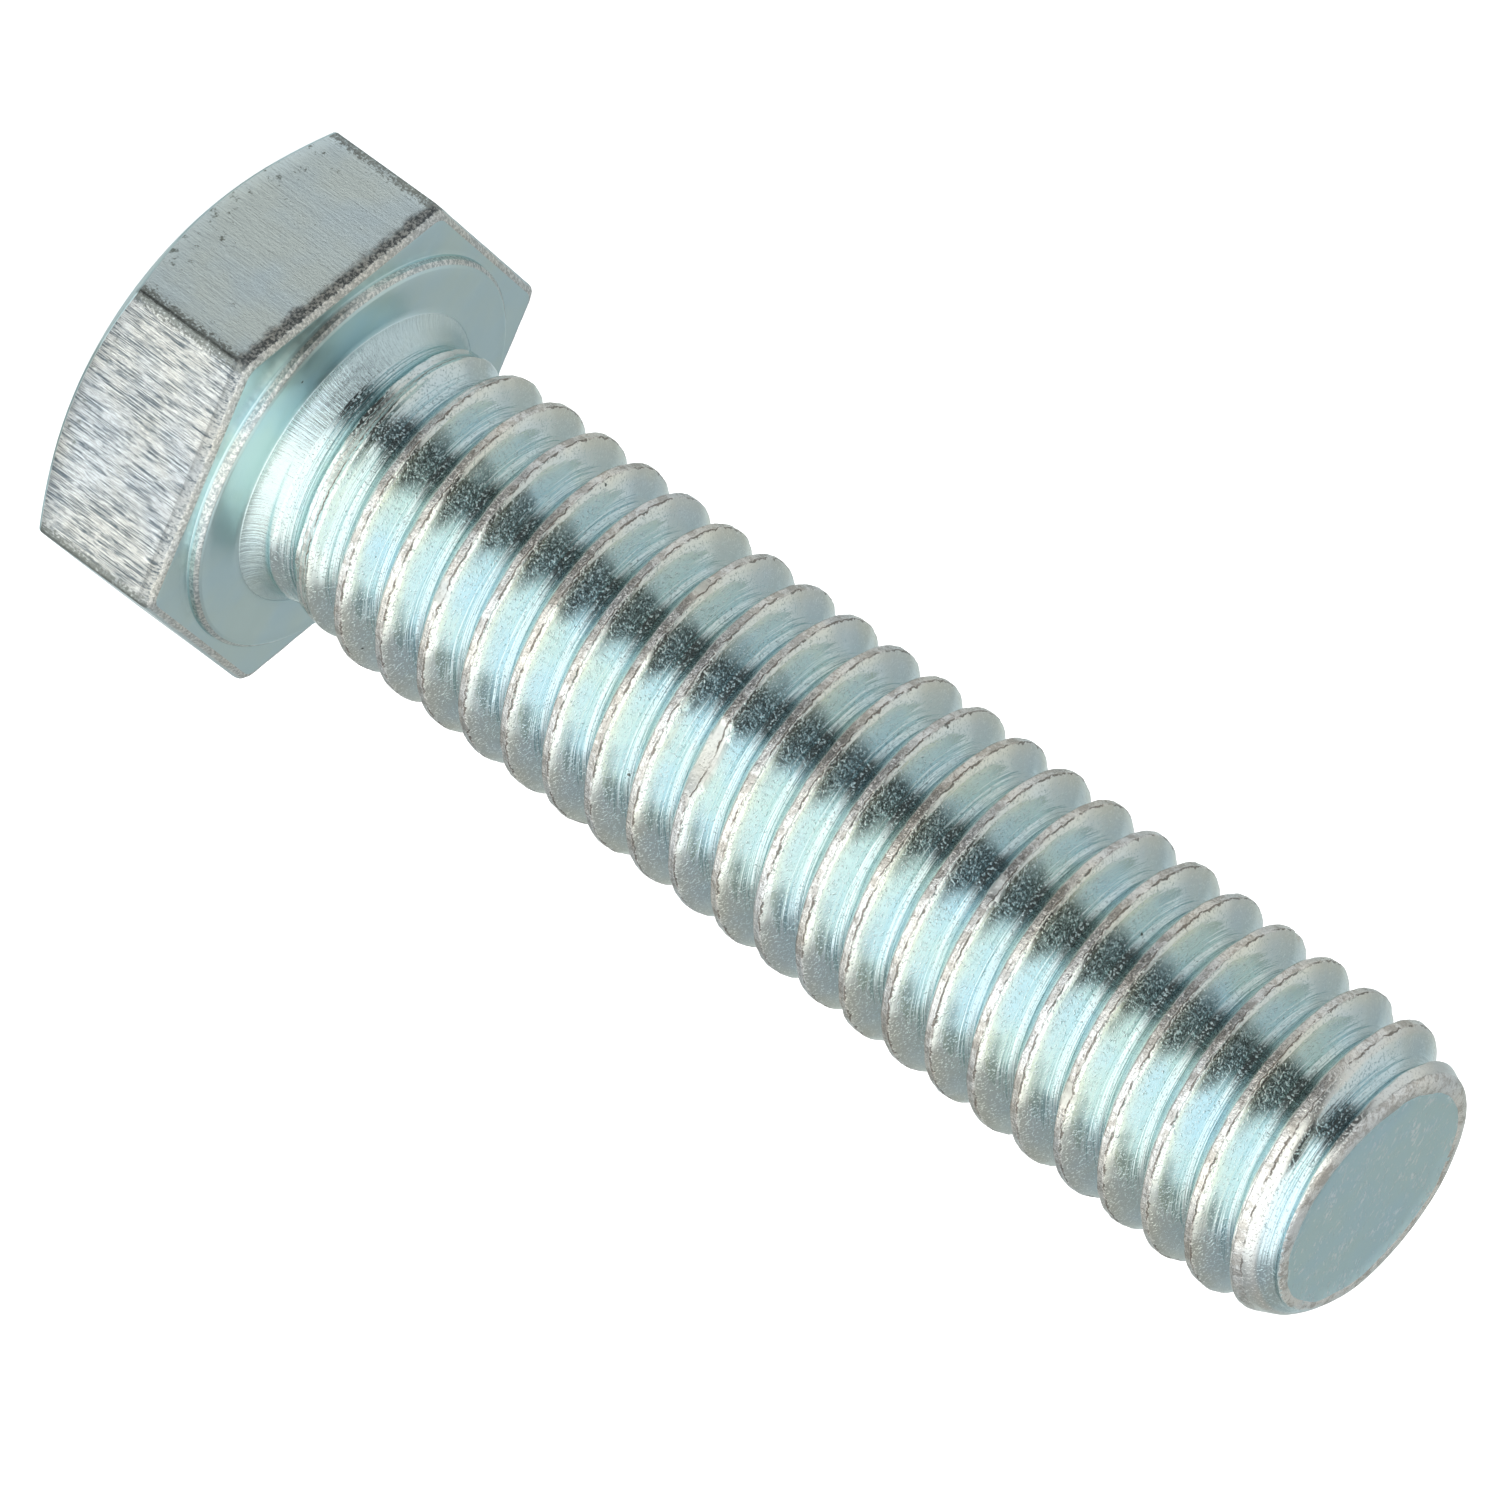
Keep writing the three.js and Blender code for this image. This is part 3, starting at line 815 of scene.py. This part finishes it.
# What the cone cut is matte and white.
cone = node(
    tree, "ShaderNodeMath", {0: axes.outputs[2], 1: POINT_SLOPE, 2: radius}, operation="MULTIPLY_ADD"
)
point = node(
    tree, "ShaderNodeMapRange", {0: cone, 1: CONE_REACH - 0.16, 2: CONE_REACH - 0.05}, **SMOOTH
)
lip = node(tree, "ShaderNodeMath", {0: crumbs, 1: 0.3, 2: axes.outputs[2]}, operation="MULTIPLY_ADD")
lip = node(tree, "ShaderNodeMapRange", {0: lip, 1: END_HEIGHT, 2: END_HEIGHT + 0.06}, **SMOOTH)
rough = node(tree, "ShaderNodeMath", {0: lip, 1: crest}, operation="MAXIMUM")
knocked_flat = node(tree, "ShaderNodeAttribute", attribute_name="worn").outputs["Fac"]
rough = node(tree, "ShaderNodeMapRange", {0: knocked_flat, 3: rough, 4: 0})
point = node(tree, "ShaderNodeMath", {0: point, 1: knocked_flat}, operation="MAXIMUM")
# The seam strays by a few hundredths along the crest's edge on the point's side, and comes and goes.
stray = node(tree, "ShaderNodeTexNoise", {"Vector": spot, "Scale": 3.2, "Detail": 4, "Roughness": 0.65})
stray = node(tree, "ShaderNodeMath", {0: stray, 1: SEAM_STRAY, 2: offset}, operation="MULTIPLY_ADD")
seam = node(tree, "ShaderNodeMath", {0: stray, 1: SEAM_PLACE}, operation="SUBTRACT")
seam = node(tree, "ShaderNodeMath", {0: seam}, operation="ABSOLUTE")
seam = node(tree, "ShaderNodeMapRange", {0: seam, 1: 0.008, 2: 0.03, 3: 1, 4: 0}, **SMOOTH)
open_seam = node(
    tree, "ShaderNodeTexNoise", {"Vector": spot, "Scale": 1.3, "Detail": 3, "Roughness": 0.6}
)
open_seam = node(tree, "ShaderNodeMapRange", {0: open_seam, 1: 0.42, 2: 0.54}, **SMOOTH)
seam = node(tree, "ShaderNodeMath", {0: seam, 1: open_seam}, operation="MULTIPLY")
seam = node(tree, "ShaderNodeMath", {0: seam, 1: crest_metal}, operation="MULTIPLY")
crumbly = node(tree, "ShaderNodeMath", {0: rough, 1: knocked_flat}, operation="MAXIMUM")
crumb_depth = node(tree, "ShaderNodeMath", {0: crumbly, 1: CREST_CRUMB_HEIGHT}, operation="MULTIPLY")
relief = node(tree, "ShaderNodeMath", {0: crumbs, 1: crumb_depth, 2: relief}, operation="MULTIPLY_ADD")
relief = node(tree, "ShaderNodeMath", {0: seam, 1: -SEAM_DEPTH, 2: relief}, operation="MULTIPLY_ADD")
matte = node(tree, "ShaderNodeMath", {0: rough, 1: point}, operation="MAXIMUM")
roughness = node(tree, "ShaderNodeMapRange", {0: matte, 3: 0.11, 4: 0.26})
roughness = node(tree, "ShaderNodeMapRange", {0: knocked_flat, 3: roughness, 4: 0.5})
# The film is warm near the crests, clear on the flanks and bluest in the roots.
tint = node(tree, "ShaderNodeMapRange", {0: radius, 1: ROOT_RADIUS, 2: CREST_RADIUS})
tint = node(tree, "ShaderNodeValToRGB", {0: tint})
tint.color_ramp.elements[0].color = linear("#e1f2f5")
tint.color_ramp.elements[1].color = linear("#f4f5ee")
for place, film_colour in ((0.25, "#dceef2"), (0.6, "#e5f1f2"), (0.85, "#eff4ee")):
    tint.color_ramp.elements.new(place).color = linear(film_colour)
mottle = node(tree, "ShaderNodeTexNoise", {"Vector": spot, "Scale": 1.6, "Detail": 6, "Roughness": 0.8})
mottle = node(tree, "ShaderNodeMapRange", {0: mottle, 1: 0.42, 2: 0.54}, **SMOOTH)
crest_colour = node(
    tree, "ShaderNodeMix", {0: mottle, 6: linear("#d4d0ca"), 7: linear("#fdfcf9")}, **RGBA
)
colour = node(tree, "ShaderNodeMix", {0: point, 6: tint, 7: linear("#f3f4f0")}, **RGBA)
colour = node(
    tree, "ShaderNodeMix", {0: rough, 6: colour.outputs[2], 7: crest_colour.outputs[2]}, **RGBA
)
colour = node(tree, "ShaderNodeMix", {0: seam, 6: colour.outputs[2], 7: linear("#9a938c")}, **RGBA)
finish(tree, shader, spot, colour.outputs[2], roughness, relief, CRYSTAL_HEIGHT_ON_THREAD)

# Sheared end face: cropped flat, with small nicks and scratches from the barrel.
CROPPED_WAVE_HEIGHT = 0.03
NICK_WAVES = (4, 11, 1)  # per millimetre: the nicks are nearly three times as long as they are wide
NICK_TURN = (0, 0, 0.9)  # radians
NICK_DEPTH = 0.03

tree, shader, spot = plated("zinc plate on cropped steel")
nicks = node(tree, "ShaderNodeMapping", {"Vector": spot, "Rotation": NICK_TURN, "Scale": NICK_WAVES})
nicks = node(tree, "ShaderNodeTexNoise", {"Vector": nicks, "Scale": 1, "Detail": 4, "Roughness": 0.7})
wave = node(tree, "ShaderNodeTexNoise", {"Vector": spot, "Scale": 1.2, "Detail": 3})
nicks = node(tree, "ShaderNodeMath", {0: wave, 1: 0.35, 2: nicks}, operation="MULTIPLY_ADD")
nick = node(tree, "ShaderNodeMapRange", {0: nicks, 1: 0.75, 2: 0.80}, **SMOOTH)
relief = node(tree, "ShaderNodeMath", {0: wave, 1: CROPPED_WAVE_HEIGHT}, operation="MULTIPLY")
relief = node(tree, "ShaderNodeMath", {0: nick, 1: -NICK_DEPTH, 2: relief}, operation="MULTIPLY_ADD")
roughness = node(tree, "ShaderNodeMapRange", {0: nick, 3: 0.3, 4: 0.45})
colour = node(tree, "ShaderNodeMix", {0: nick, 6: linear("#d2edf2"), 7: linear("#f2fbff")}, **RGBA)
finish(tree, shader, spot, colour.outputs[2], roughness, relief)

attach(bolt, "root")
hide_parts("hex_bolt")
